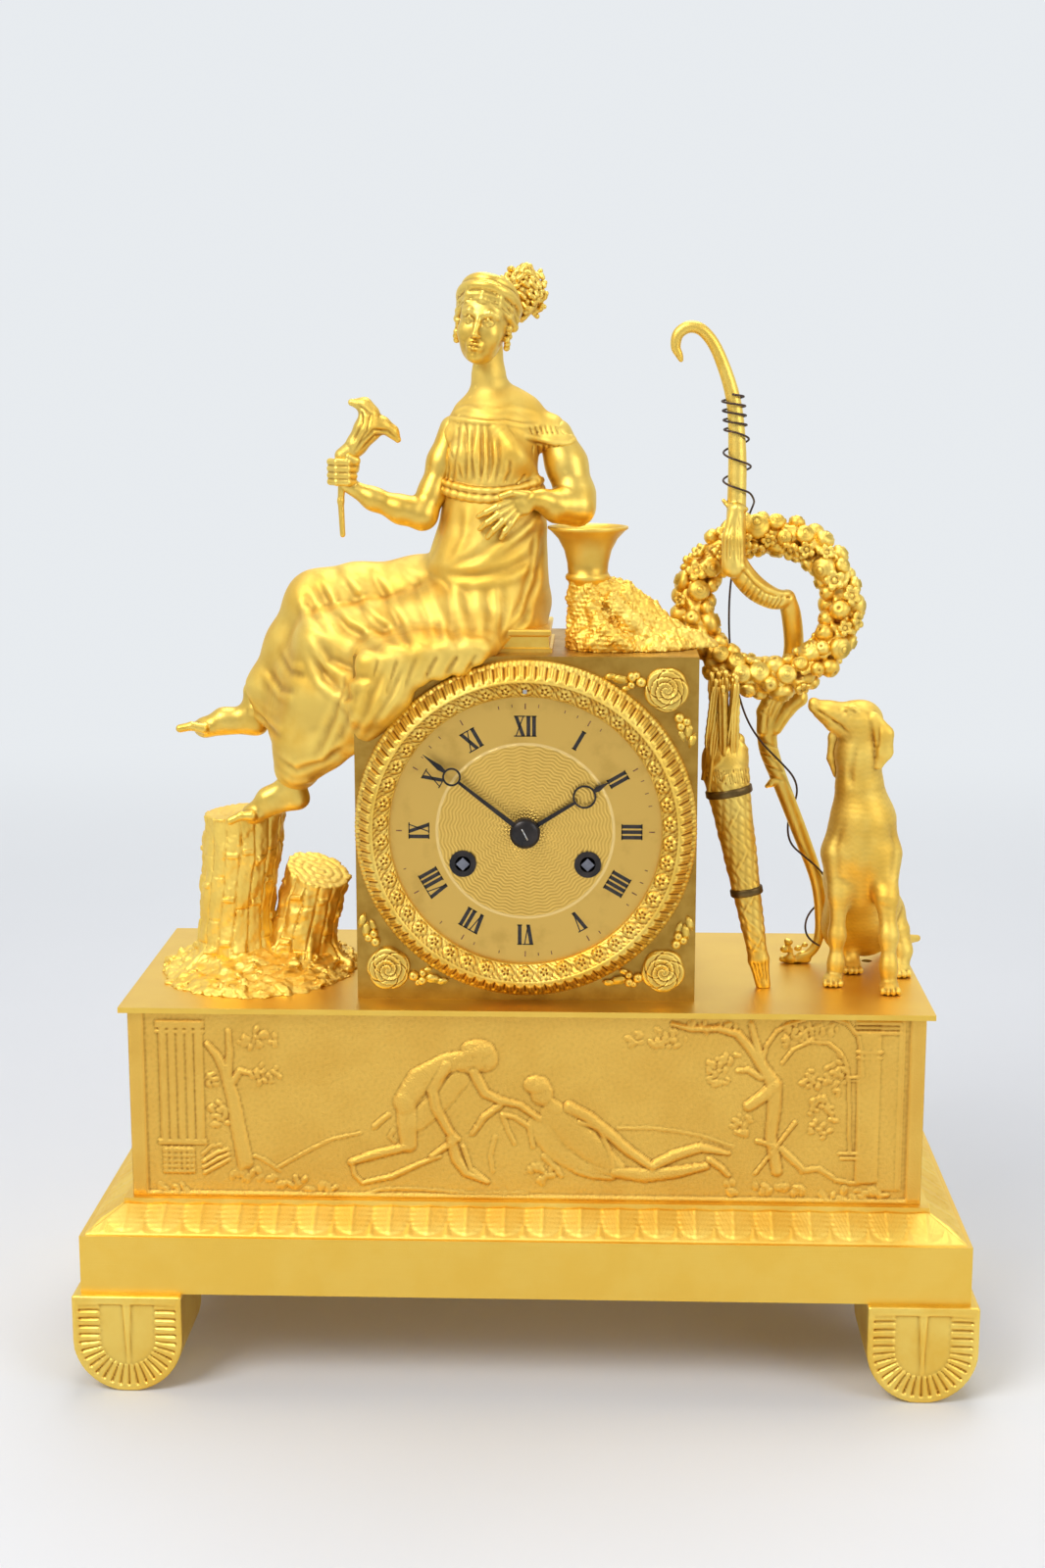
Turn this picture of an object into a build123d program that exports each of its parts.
from build123d import *
import math
import os

os.makedirs("parts", exist_ok=True)

# A gilt bronze figural mantel clock. Millimetres. X is to the right seen from the front,
# Y goes back and Z up. The origin is on the ground, under the middle of the base.

# Base: four fluted feet, a plain block, a sloping leaf moulding and a hollow relief plinth.
block_width = 320.0
block_depth = 140.8
block_height = 21.7
block_wall = 4.0
foot_width = 39.8
foot_height = 36.5
foot_band = 2.6
foot_stand_out = 3.0
foot_boss = 30.0
moulding_height = 7.3
moulding_reveal = 1.6
fillet_thickness = 2.1
fillet_stand_out = 2.9
plinth_width = 286.7
plinth_depth = 107.5
plinth_height = 70.1
plinth_wall = 3.5
relief_backing = 4.0
relief_height = 1.2
top_plate_thickness = 2.0
top_plate_overhang = 2.85

# Case: a brass box with a separate front plate, a round opening behind and a hinged door.
case_width = 122.4
case_height = 125.6
case_front = -41.4
case_back = 43.0
case_wall = 3.0
front_plate_thickness = 3.0

# Dial and bezel, about one horizontal axis.
dial_axis_height_in_case = 63.5
dial_radius = 52.0
dial_thickness = 1.2
dial_stand_out = 4.6
dial_foot_radius = 1.2
dial_foot_circle = 44.0
bezel_radius = 61.0
bezel_opening = 48.5
bezel_depth = 10.6
bezel_lip = 1.4
collet_radius = 4.8
collet_thickness = 0.6
square_side = 3.4
square_stand_out = 1.0

# Movement between two round plates.
plate_radius = 47.5
plate_thickness = 2.0
front_plate_back = -32.0
back_plate_front = -2.0
pillar_radius = 2.5
pillar_circle = 43.0
strap_thickness = 1.4
strap_width = 7.0
winding_spread = 22.3
winding_drop = 11.9
arbor_radius = 2.0
thin_arbor_radius = 1.0
running_gap = 0.05
seat_gap = 0.3
great_teeth = 70
centre_pinion_leaves = 14
centre_teeth = 84
train_pinion_leaves = 7
third_teeth = 84
centre_module = 0.36
third_module = 0.30
escape_teeth = 36
escape_radius = 7.6
escape_rise = 25.2
pallet_rise = 36.5
cannon_leaves = 12
minute_wheel_teeth = 36
minute_pinion_leaves = 10
hour_wheel_teeth = 40
cannon_module = 0.4
drum_radius = 18.0
drum_length = 15.0
drum_wall = 1.0
wheel_thickness = 1.2
great_wheel_thickness = 2.0
spring_turns = 7
spring_thickness = 0.5

# Hands, as pairs for the minute hand and the hour hand.
minute_hand_length = 45.9
minute_ring_place = 32.9
minute_ring_radius = 3.3
hour_hand_length = 35.4
hour_ring_place = 24.7
hour_ring_radius = 4.2
hand_thickness = 0.7
hand_width = 1.7
hand_hub_radius = 5.4
cannon_pipe_radius = 1.8
hour_pipe_radius = 3.0
minute_hand_angle = 308.0
hour_hand_angle = 58.3

# Pendulum, its suspension, the bell and its hammer, behind the back plate.
pendulum_length = 120.0
pendulum_plane = 6.0
rod_radius = 1.0
bob_radius = 13.0
bob_thickness = 5.0
slot_width = 24.0
slot_depth = 13.0
spring_strip_width = 3.0
spring_strip_thickness = 0.3
suspension_length = 6.6
bell_radius = 30.0
bell_depth = 14.0
bell_wall = 1.5
bell_plane = 16.0
bell_drop = 5.2
hammer_head_radius = 4.0
hammer_head_length = 8.0
hammer_gap = 0.8
hammer_set_back = 5.0
regulator_rise = 50.9

# Back bezel and door.
back_ring_radius = 51.5
back_ring_opening = 44.5
back_ring_thickness = 2.0
back_ring_tube = 6.0
door_radius = 48.0
door_thickness = 1.6
hinge_radius = 2.2
hinge_pin_radius = 0.9
hinge_length = 24.0

# Figures and trophies, each scaled from one size.
figure_height = 137.7
vessel_height = 44.0
stump_height = 60.5
dog_height = 104.0
bow_height = 240.0
quiver_length = 117.0
wreath_radius = 27.5
fruit_radius = 8.0
bow_string_diameter = 0.8
cut_overrun = 1.0
stud_radius = 2.0
nut_width = 7.0
nut_height = 3.0

block_bottom = foot_height
block_top = block_bottom + block_height
moulding_top = block_top + moulding_height
plinth_bottom = moulding_top + fillet_thickness
plinth_top = plinth_bottom + plinth_height
plate_top = plinth_top + top_plate_thickness
case_top = plate_top + case_height
dial_height = plate_top + dial_axis_height_in_case
dial_front = case_front - dial_stand_out
plinth_front = -plinth_depth / 2
relief_front = plinth_front + relief_height
foot_x = block_width / 2 + foot_stand_out - foot_width / 2
foot_y = block_depth / 2 + foot_stand_out - foot_width / 2
stud_inset = foot_width / 4 + stud_radius
case_middle = (case_front + case_back) / 2
going_x = winding_spread
winding_z = dial_height - winding_drop
winding_distance = math.hypot(winding_spread, winding_drop)
great_module = 2 * winding_distance / (great_teeth + centre_pinion_leaves)
pivot_z = dial_height + pallet_rise
escape_z = dial_height + escape_rise
third_distance = centre_module * (centre_teeth + train_pinion_leaves) / 2
escape_distance = third_module * (third_teeth + train_pinion_leaves) / 2
third_up = (third_distance**2 - escape_distance**2 + escape_rise**2) / (2 * escape_rise)
third_x = math.sqrt(third_distance**2 - third_up**2)
third_z = dial_height + third_up
motion_distance = cannon_module * (cannon_leaves + minute_wheel_teeth) / 2
hour_module = 2 * motion_distance / (minute_pinion_leaves + hour_wheel_teeth)
minute_wheel_z = dial_height - motion_distance
bob_z = pivot_z - pendulum_length
bell_z = dial_height - bell_drop
pin_wheel_bearing = math.radians(75)
pin_wheel_x = -winding_spread + winding_distance * math.cos(pin_wheel_bearing)
pin_wheel_z = winding_z + winding_distance * math.sin(pin_wheel_bearing)

tooth_root_share = 0.20
crossing_circle_share = 0.60
crossing_radius_share = 0.21
crossing_count = 6
tooth_tip_share = 0.10
addendum_share = 0.8
dedendum_share = 1.2


def save(piece, name):
    """Label a finished piece and write it."""
    piece.part.label = name
    export_step(piece.part, f"parts/{name}.step")


def facing(x, y, z):
    """A plane that looks to the front from a point, with its own y pointing up."""
    return Plane(origin=(x, y, z), x_dir=(1, 0, 0), z_dir=(0, -1, 0))


def round_bar(x, z, back, front, radius, mode=Mode.ADD):
    """A round length along Y, from its back end to its front end."""
    with BuildSketch(facing(x, back, z)) as profile:
        Circle(radius)
    extrude(profile.sketch, amount=back - front, mode=mode)


def square_bar(x, z, back, front, width, height, turn=0, mode=Mode.ADD):
    """A rectangular length along Y, from its back end to its front end."""
    with BuildSketch(facing(x, back, z)) as profile:
        Rectangle(width, height, rotation=turn)
    extrude(profile.sketch, amount=back - front, mode=mode)


def slab(x, y, bottom, top, width, depth, mode=Mode.ADD):
    """An upright block over a rectangle."""
    with BuildSketch(Plane.XY.offset(bottom)) as profile:
        with Locations((x, y)):
            Rectangle(width, depth)
    extrude(profile.sketch, amount=top - bottom, mode=mode)


def post(x, y, bottom, top, radius, mode=Mode.ADD):
    """An upright round length."""
    with BuildSketch(Plane.XY.offset(bottom)) as profile:
        with Locations((x, y)):
            Circle(radius)
    extrude(profile.sketch, amount=top - bottom, mode=mode)


def toothed_wheel(x, z, back, front, teeth, module, phase):
    """A spur wheel with straight-sided teeth. phase is the angle of one tooth, in radians."""
    root = module * (teeth / 2 - dedendum_share)
    tip = module * (teeth / 2 + addendum_share)
    pitch = 2 * math.pi / teeth
    corners = (
        (root, -tooth_root_share), (tip, -tooth_tip_share), (tip, tooth_tip_share), (root, tooth_root_share),
    )
    outline = []
    for tooth in range(teeth):
        for radius, share in corners:
            angle = phase + (tooth + share) * pitch
            outline.append((radius * math.cos(angle), radius * math.sin(angle)))
    with BuildSketch(facing(x, back, z)) as profile:
        with BuildLine():
            Polyline(*outline, close=True)
        make_face()
    extrude(profile.sketch, amount=back - front)


def meshing_phase(bearing, phase, teeth, other_teeth):
    """The tooth angle that puts a wheel in mesh with another, which lies at bearing from it."""
    share = ((bearing - phase) * teeth / (2 * math.pi)) % 1
    return bearing + math.pi + (share + 0.5) * 2 * math.pi / other_teeth


def crossings(x, z, back, front, wheel_radius):
    """Round windows through a wheel."""
    with BuildSketch(facing(x, back + cut_overrun, z)) as profile:
        with PolarLocations(wheel_radius * crossing_circle_share, crossing_count):
            Circle(wheel_radius * crossing_radius_share)
    extrude(profile.sketch, amount=back - front + 2 * cut_overrun, mode=Mode.SUBTRACT)


def swelling(origin, size, shares):
    """A smooth limb: ellipses along a path. Each row is x, y, z, half height, half depth."""
    centres = [Vector(*origin) + Vector(*row[:3]) * size for row in shares]
    faces = []
    for index, row in enumerate(shares):
        before = centres[max(index - 1, 0)]
        after = centres[min(index + 1, len(centres) - 1)]
        along = (after - before).normalized()
        across = along.cross(Vector(0, 1, 0)).normalized()
        with BuildSketch(Plane(origin=centres[index], x_dir=across, z_dir=along)) as section:
            Ellipse(row[3] * size, row[4] * size)
        faces.append(section.sketch.faces()[0])
    loft(faces)


def revolved(origin, size, shares):
    """A round piece about an upright axis. Each row is a radius and a height."""
    with BuildSketch(Plane(origin=origin, x_dir=(1, 0, 0), z_dir=(0, -1, 0))) as profile:
        with BuildLine():
            Polyline(*[(radius * size, height * size) for radius, height in shares], close=True)
        make_face()
    revolve(profile.sketch, axis=Axis(origin, (0, 0, 1)))


# Feet: a D-shaped block, rounded below at both sides, with flutes in its face and a thin square band on top.
foot_names = {(-1, -1): "front_left", (1, -1): "front_right", (-1, 1): "back_left", (1, 1): "back_right"}
foot_flat = foot_height / 60
foot_stud_x = foot_x - stud_inset
foot_stud_y = foot_y - stud_inset
flute_count = 11
flute_width = foot_width / 18
flute_depth = foot_width / 30
flute_inner = foot_width * 0.30
flute_outer = foot_width * 0.44
foot_round = foot_width / 2


def d_profile():
    """The outline of a foot: straight sides above a half round, cut flat where it rests."""
    with BuildLine() as outline:
        Polyline(
            (-foot_round, foot_round - foot_flat),
            (-foot_round, foot_height - foot_band),
            (foot_round, foot_height - foot_band),
            (foot_round, foot_round - foot_flat),
        )
        ThreePointArc(
            (-foot_round, foot_round - foot_flat), (0, -foot_flat), (foot_round, foot_round - foot_flat)
        )
    make_face(outline.edges())


for (side, rear), corner in foot_names.items():
    cx, cy = side * foot_x, rear * foot_y
    with BuildPart() as foot:
        with BuildSketch(facing(cx, cy + foot_round, 0)) as across:
            d_profile()
        extrude(across.sketch, amount=foot_width)
        slab(cx, cy, -foot_round, 0, foot_width, foot_width, mode=Mode.SUBTRACT)
        slab(cx, cy, foot_height - foot_band, foot_height, foot_width, foot_width)
        face_y = cy + rear * foot_round
        if rear < 0:
            for flute in range(flute_count):
                turn = 180 + 180 * (flute + 0.5) / flute_count
                middle = (flute_inner + flute_outer) / 2
                with BuildSketch(facing(cx, face_y + flute_depth, foot_round)) as groove:
                    with Locations(
                        (middle * math.cos(math.radians(turn)), middle * math.sin(math.radians(turn)))
                    ):
                        Rectangle(flute_outer - flute_inner, flute_width / 2, rotation=turn)
                extrude(groove.sketch, amount=flute_depth + cut_overrun, mode=Mode.SUBTRACT)
        post(
            side * foot_stud_x,
            rear * foot_stud_y,
            foot_height / 2,
            foot_height + cut_overrun,
            stud_radius + running_gap,
            mode=Mode.SUBTRACT,
        )
    save(foot, f"foot_{corner}")

tie_x = plinth_width * 0.42
tie_y = plinth_depth * 0.34

# Base block: an upturned tray with a boss in each corner for its foot.
with BuildPart() as base_block:
    slab(0, 0, block_bottom, block_top, block_width, block_depth)
    slab(
        0, 0, block_bottom - cut_overrun, block_top - block_wall,
        block_width - 2 * block_wall, block_depth - 2 * block_wall, mode=Mode.SUBTRACT,
    )
    for side, rear in foot_names:
        boss_x = side * (block_width / 2 - block_wall / 2 - foot_boss / 2)
        boss_y = rear * (block_depth / 2 - block_wall / 2 - foot_boss / 2)
        slab(boss_x, boss_y, block_bottom, block_top - block_wall / 2, foot_boss, foot_boss)
        post(
            side * foot_stud_x, rear * foot_stud_y, block_bottom - cut_overrun, block_top + cut_overrun,
            stud_radius + running_gap, mode=Mode.SUBTRACT,
        )
        post(
            side * tie_x, rear * tie_y, block_bottom, block_top + cut_overrun,
            stud_radius + running_gap, mode=Mode.SUBTRACT,
        )
save(base_block, "base_block")

# Leaf moulding: a sloping frame that carries the plinth on a thin fillet.
well_width = plinth_width - 2.6 * plinth_wall
well_depth = plinth_depth - 2.6 * plinth_wall
with BuildPart() as leaf_moulding:
    with BuildSketch(Plane.XY.offset(block_top)) as lower:
        Rectangle(block_width - 2 * moulding_reveal, block_depth - 2 * moulding_reveal)
    with BuildSketch(Plane.XY.offset(moulding_top)) as upper:
        Rectangle(plinth_width + fillet_stand_out, plinth_depth + fillet_stand_out)
    loft([lower.sketch.faces()[0], upper.sketch.faces()[0]], ruled=True)
    slab(
        0, 0, moulding_top, plinth_bottom,
        plinth_width + 2 * fillet_stand_out, plinth_depth + 2 * fillet_stand_out,
    )
    slab(
        0, 0, block_top - cut_overrun, plinth_bottom + cut_overrun, well_width, well_depth,
        mode=Mode.SUBTRACT,
    )
save(leaf_moulding, "leaf_moulding")

# Plinth: two sides and a back, and the cast relief panel that closes the front.
inner_depth = plinth_depth - relief_backing - relief_height
inner_middle = (plinth_front + relief_height + relief_backing + plinth_depth / 2) / 2
with BuildPart() as plinth_box:
    slab(0, inner_middle, plinth_bottom, plinth_top, plinth_width, inner_depth)
    slab(
        0, inner_middle - plinth_wall, plinth_bottom - cut_overrun, plinth_top + cut_overrun,
        plinth_width - 2 * plinth_wall, inner_depth, mode=Mode.SUBTRACT,
    )
save(plinth_box, "plinth_box")

# Relief shares: each body is a row of x, z and half width, as shares of the panel's height.
relief_shares = {
    "kneeling_back": [(-0.30, 0.20, 0.05), (-0.22, 0.30, 0.08), (-0.10, 0.60, 0.09), (0.02, 0.78, 0.07)],
    "kneeling_leg": [(-0.50, 0.15, 0.05), (-0.30, 0.24, 0.07), (-0.12, 0.14, 0.06), (0.05, 0.12, 0.03)],
    "reclining_trunk": [(0.42, 0.62, 0.07), (0.60, 0.45, 0.09), (0.80, 0.30, 0.08), (1.00, 0.26, 0.06)],
    "reclining_legs": [(0.95, 0.24, 0.06), (1.20, 0.30, 0.05), (1.50, 0.28, 0.04), (1.62, 0.20, 0.03)],
    "left_tree": [(-1.34, 0.18, 0.05), (-1.38, 0.50, 0.035), (-1.44, 0.85, 0.03)],
    "right_tree": [(1.22, 0.10, 0.05), (1.28, 0.50, 0.04), (1.20, 0.85, 0.03)],
}
pillar_share = 0.10
pillar_place_share = 1.80
side_strip_share = 0.07
with BuildPart() as relief_panel:
    panel_back = relief_front + relief_backing
    square_bar(0, (plinth_bottom + plinth_top) / 2, panel_back, relief_front, plinth_width, plinth_height)
    for side in (-1, 1):
        square_bar(
            side * (plinth_width - side_strip_share * plinth_height) / 2,
            (plinth_bottom + plinth_top) / 2,
            relief_front, plinth_front, side_strip_share * plinth_height, plinth_height,
        )
        square_bar(
            side * pillar_place_share * plinth_height,
            plinth_bottom + plinth_height / 2,
            relief_front, plinth_front, pillar_share * plinth_height, plinth_height * 0.8,
        )
    for rows in relief_shares.values():
        for start, end in zip(rows, rows[1:]):
            ax, az, aw = (value * plinth_height for value in start)
            bx, bz, bw = (value * plinth_height for value in end)
            turn = math.atan2(bz - az, bx - ax)
            nx, nz = -math.sin(turn), math.cos(turn)
            with BuildSketch(facing(0, relief_front, plinth_bottom)) as limb:
                with BuildLine():
                    Polyline(
                        (ax + nx * aw, az + nz * aw), (bx + nx * bw, bz + nz * bw),
                        (bx - nx * bw, bz - nz * bw), (ax - nx * aw, az - nz * aw), close=True,
                    )
                make_face()
                with Locations((ax, az)):
                    Circle(aw)
                with Locations((bx, bz)):
                    Circle(bw)
            extrude(limb.sketch, amount=relief_height * 0.8)
save(relief_panel, "relief_panel")

# Where the cast pieces stand on the top plate. Each stands on one or two studs with nuts below.
mound_x, mound_y = -103.0, 2.0
dog_x, dog_y = 124.0, -2.0
quiver_x, quiver_y = 88.5, -22.0
bow_x, bow_y = 107.0, 12.0
case_stud_x = case_width / 2 - 3 * case_wall
case_stud_y = (case_back - case_front) / 2 - 4 * case_wall
stud_places = [
    (mound_x - stump_height / 8, mound_y), (mound_x + stump_height / 3, mound_y),
    (dog_x + dog_height * 0.06, dog_y + dog_height * 0.17), (bow_x - bow_height / 60, bow_y),
    (-case_stud_x, -case_stud_y), (case_stud_x, -case_stud_y),
    (-case_stud_x, case_stud_y), (case_stud_x, case_stud_y),
]
stud_tail = top_plate_thickness + nut_height + stud_radius

with BuildPart() as plinth_top_plate:
    slab(
        0, 0, plinth_top, plate_top,
        plinth_width + 2 * top_plate_overhang, plinth_depth + 2 * top_plate_overhang,
    )
    slab(
        0, pendulum_plane + rod_radius, plinth_top - cut_overrun, plate_top + cut_overrun,
        slot_width, slot_depth, mode=Mode.SUBTRACT,
    )
    for stud_x, stud_y in stud_places:
        post(
            stud_x, stud_y, plinth_top - cut_overrun, plate_top + cut_overrun,
            stud_radius + running_gap, mode=Mode.SUBTRACT,
        )
save(plinth_top_plate, "plinth_top_plate")

with BuildPart() as plinth_tie_rods:
    for side, rear in foot_names:
        rod_bottom = block_top - block_wall - nut_height - stud_radius
        post(side * tie_x, rear * tie_y, rod_bottom, plinth_top, stud_radius)
save(plinth_tie_rods, "plinth_tie_rods")

with BuildPart() as foot_studs:
    for side, rear in foot_names:
        post(
            side * foot_stud_x, rear * foot_stud_y, foot_height / 2 + stud_radius,
            block_top + nut_height + stud_radius / 2, stud_radius,
        )
save(foot_studs, "foot_studs")


def nut(x, y, bottom):
    """A square nut with a running hole for its stud."""
    with BuildSketch(Plane.XY.offset(bottom)) as outline:
        with Locations((x, y)):
            RegularPolygon(nut_width / 2, 6)
            Circle(stud_radius + running_gap, mode=Mode.SUBTRACT)
    extrude(outline.sketch, amount=nut_height)


with BuildPart() as fixing_nuts:
    for side, rear in foot_names:
        nut(side * foot_stud_x, rear * foot_stud_y, block_top)
        nut(side * tie_x, rear * tie_y, block_top - block_wall - nut_height)
    for stud_x, stud_y in stud_places:
        nut(stud_x, stud_y, plinth_top - nut_height)
save(fixing_nuts, "fixing_nuts")

# Case: a box with walls all round, open in front, with a round opening behind.
shell_front = case_front + front_plate_thickness
case_mid_z = (plate_top + case_top) / 2
with BuildPart() as case_shell:
    square_bar(0, case_mid_z, case_back, shell_front, case_width, case_height)
    square_bar(
        0, case_mid_z, case_back - case_wall, shell_front - cut_overrun,
        case_width - 2 * case_wall, case_height - 2 * case_wall, mode=Mode.SUBTRACT,
    )
    back_hole = back_ring_opening + 1.5 * running_gap + back_ring_thickness
    round_bar(
        0, dial_height, case_back + cut_overrun, case_back - case_wall - cut_overrun, back_hole,
        mode=Mode.SUBTRACT,
    )
    slab(
        0, pendulum_plane + rod_radius, plate_top - cut_overrun, plate_top + case_wall + cut_overrun,
        slot_width, slot_depth, mode=Mode.SUBTRACT,
    )
    for side in (-1, 1):
        for rear in (-1, 1):
            post(
                side * case_stud_x, rear * case_stud_y, plate_top - stud_tail, plate_top + case_wall,
                stud_radius,
            )
save(case_shell, "case_shell")

strap_inner = plate_radius + 2 * seat_gap
strap_outer = strap_inner + strap_thickness
front_hole = math.hypot(strap_outer, strap_width / 2) + 2 * seat_gap
with BuildPart() as case_front_plate:
    square_bar(0, case_mid_z, shell_front, case_front, case_width, case_height)
    round_bar(
        0, dial_height, shell_front + cut_overrun, case_front - cut_overrun, front_hole, mode=Mode.SUBTRACT
    )
    round_bar(
        0, dial_height + regulator_rise, shell_front + cut_overrun, case_front - cut_overrun,
        thin_arbor_radius + seat_gap, mode=Mode.SUBTRACT,
    )
save(case_front_plate, "case_front_plate")

# Bezel: one turned ring, fluted outside and beaded inside, that holds the dial behind its lip.
bezel_shares = [
    (1.0, 0.0), (1.0, 0.22), (0.985, 0.34), (0.965, 0.40), (0.92, 0.86), (0.885, 1.0), (0.865, 0.86),
    (0.85, 0.80), (0.82, 0.72),
]
flute_total = 72
with BuildPart() as bezel:
    with BuildSketch(Plane(origin=(0, case_front, dial_height), x_dir=(1, 0, 0), z_dir=(0, 0, 1))) as ring:
        with BuildLine():
            Polyline(
                *[(bezel_radius * radius, -bezel_depth * depth) for radius, depth in bezel_shares],
                (bezel_opening, -dial_stand_out - bezel_lip),
                (bezel_opening, -dial_stand_out - running_gap),
                (dial_radius + running_gap, -dial_stand_out - running_gap),
                (dial_radius + running_gap, 0),
                close=True,
            )
        make_face()
    revolve(ring.sketch, axis=Axis((0, 0, dial_height), (0, 1, 0)))
    round_bar(
        0, dial_height + regulator_rise, case_front + cut_overrun, case_front - bezel_depth * 2,
        thin_arbor_radius + seat_gap, mode=Mode.SUBTRACT,
    )
    flute_middle = bezel_radius * 0.945
    with BuildSketch(facing(0, case_front - bezel_depth * 0.52, dial_height)) as flutes:
        with PolarLocations(flute_middle, flute_total):
            Rectangle(bezel_radius * 0.07, bezel_radius * 0.018)
    extrude(flutes.sketch, amount=bezel_depth, mode=Mode.SUBTRACT)
save(bezel, "bezel")

with BuildPart() as dial:
    round_bar(0, dial_height, dial_front + dial_thickness, dial_front, dial_radius)
    for turn in (30, 150, 270):
        foot_px = dial_foot_circle * math.cos(math.radians(turn))
        foot_pz = dial_height + dial_foot_circle * math.sin(math.radians(turn))
        round_bar(
            foot_px, foot_pz, front_plate_back + cut_overrun, dial_front + dial_thickness, dial_foot_radius,
        )
    round_bar(
        0, dial_height, case_front, dial_front - cut_overrun, hour_pipe_radius + seat_gap, Mode.SUBTRACT
    )
    for side in (-1, 1):
        round_bar(
            side * winding_spread, winding_z, case_front, dial_front - cut_overrun,
            collet_radius * 0.6, mode=Mode.SUBTRACT,
        )
    round_bar(
        0, dial_height + regulator_rise, case_front, dial_front - cut_overrun,
        thin_arbor_radius + seat_gap, mode=Mode.SUBTRACT,
    )
save(dial, "dial")

with BuildPart() as winding_collets:
    for side in (-1, 1):
        round_bar(side * winding_spread, winding_z, dial_front, dial_front - collet_thickness, collet_radius)
        round_bar(
            side * winding_spread, winding_z, dial_front + cut_overrun,
            dial_front - collet_thickness - cut_overrun, collet_radius * 0.58, mode=Mode.SUBTRACT,
        )
save(winding_collets, "winding_collets")

# Corner roses: a flower and two leaf sprays in each visible corner of the front plate.
rose_places = {"top_right": (1, 1), "bottom_left": (-1, -1), "bottom_right": (1, -1)}
rose_radius = 8.2
rose_inset = 11.5
rose_depth = 3.2
with BuildPart() as corner_roses:
    for side, rise in rose_places.values():
        rose_x = side * (case_width / 2 - rose_inset)
        rose_z = case_mid_z + rise * (case_height / 2 - rose_inset)
        with BuildSketch(facing(rose_x, case_front, rose_z)) as outline:
            Circle(rose_radius)
        extrude(outline.sketch, amount=rose_depth, taper=18)
        with BuildSketch(facing(rose_x, case_front - rose_depth, rose_z)) as heart:
            Circle(rose_radius * 0.42)
        extrude(heart.sketch, amount=rose_depth * 0.4, taper=20)
save(corner_roses, "corner_roses")

# Movement plates, with a running hole for every arbor that passes them.
hammer_x, hammer_rise = -33.0, 18.8
hammer_z = dial_height + hammer_rise
front_pivots = {
    (0, dial_height): thin_arbor_radius, (going_x, winding_z): arbor_radius,
    (-going_x, winding_z): arbor_radius, (third_x, third_z): thin_arbor_radius,
    (0, escape_z): thin_arbor_radius, (0, pivot_z): thin_arbor_radius,
    (pin_wheel_x, pin_wheel_z): thin_arbor_radius, (hammer_x, hammer_z): thin_arbor_radius,
}
pillar_turns = (60, 120, 250, 290)
minute_post_radius = thin_arbor_radius


def movement_plate(back, front):
    """A round plate with holes for the arbors."""
    round_bar(0, dial_height, back, front, plate_radius)
    for (hole_x, hole_z), radius in front_pivots.items():
        round_bar(
            hole_x, hole_z, back + cut_overrun, front - cut_overrun, radius + running_gap, Mode.SUBTRACT,
        )


with BuildPart() as movement_front_plate:
    front_plate_front = front_plate_back - plate_thickness
    movement_plate(front_plate_back, front_plate_front)
    for turn in (30, 150, 270):
        round_bar(
            dial_foot_circle * math.cos(math.radians(turn)),
            dial_height + dial_foot_circle * math.sin(math.radians(turn)),
            front_plate_back + cut_overrun, front_plate_front - cut_overrun,
            dial_foot_radius + running_gap, Mode.SUBTRACT,
        )
    motion_post_front = front_plate_front - 5.6 * wheel_thickness
    round_bar(0, minute_wheel_z, front_plate_front, motion_post_front, minute_post_radius)
save(movement_front_plate, "movement_front_plate")

with BuildPart() as movement_back_plate:
    movement_plate(back_plate_front + plate_thickness, back_plate_front)
save(movement_back_plate, "movement_back_plate")

with BuildPart() as movement_pillars:
    for turn in pillar_turns:
        round_bar(
            pillar_circle * math.cos(math.radians(turn)),
            dial_height + pillar_circle * math.sin(math.radians(turn)),
            back_plate_front, front_plate_back, pillar_radius,
        )
save(movement_pillars, "movement_pillars")

# Two straps run from the dial to the ring behind and clamp the case between them.
strap_back = case_back - back_ring_tube
with BuildPart() as movement_straps:
    for side in (-1, 1):
        strap_middle = side * (strap_inner + strap_outer) / 2
        strap_front = dial_front + dial_thickness
        square_bar(strap_middle, dial_height, strap_back, strap_front, strap_thickness, strap_width)
        lug_width = strap_outer - back_ring_opening
        for lug_back in (strap_back, strap_front + strap_thickness):
            square_bar(
                side * (strap_outer - lug_width / 2), dial_height, lug_back, lug_back - strap_thickness,
                lug_width, strap_width,
            )
save(movement_straps, "movement_straps")

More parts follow.
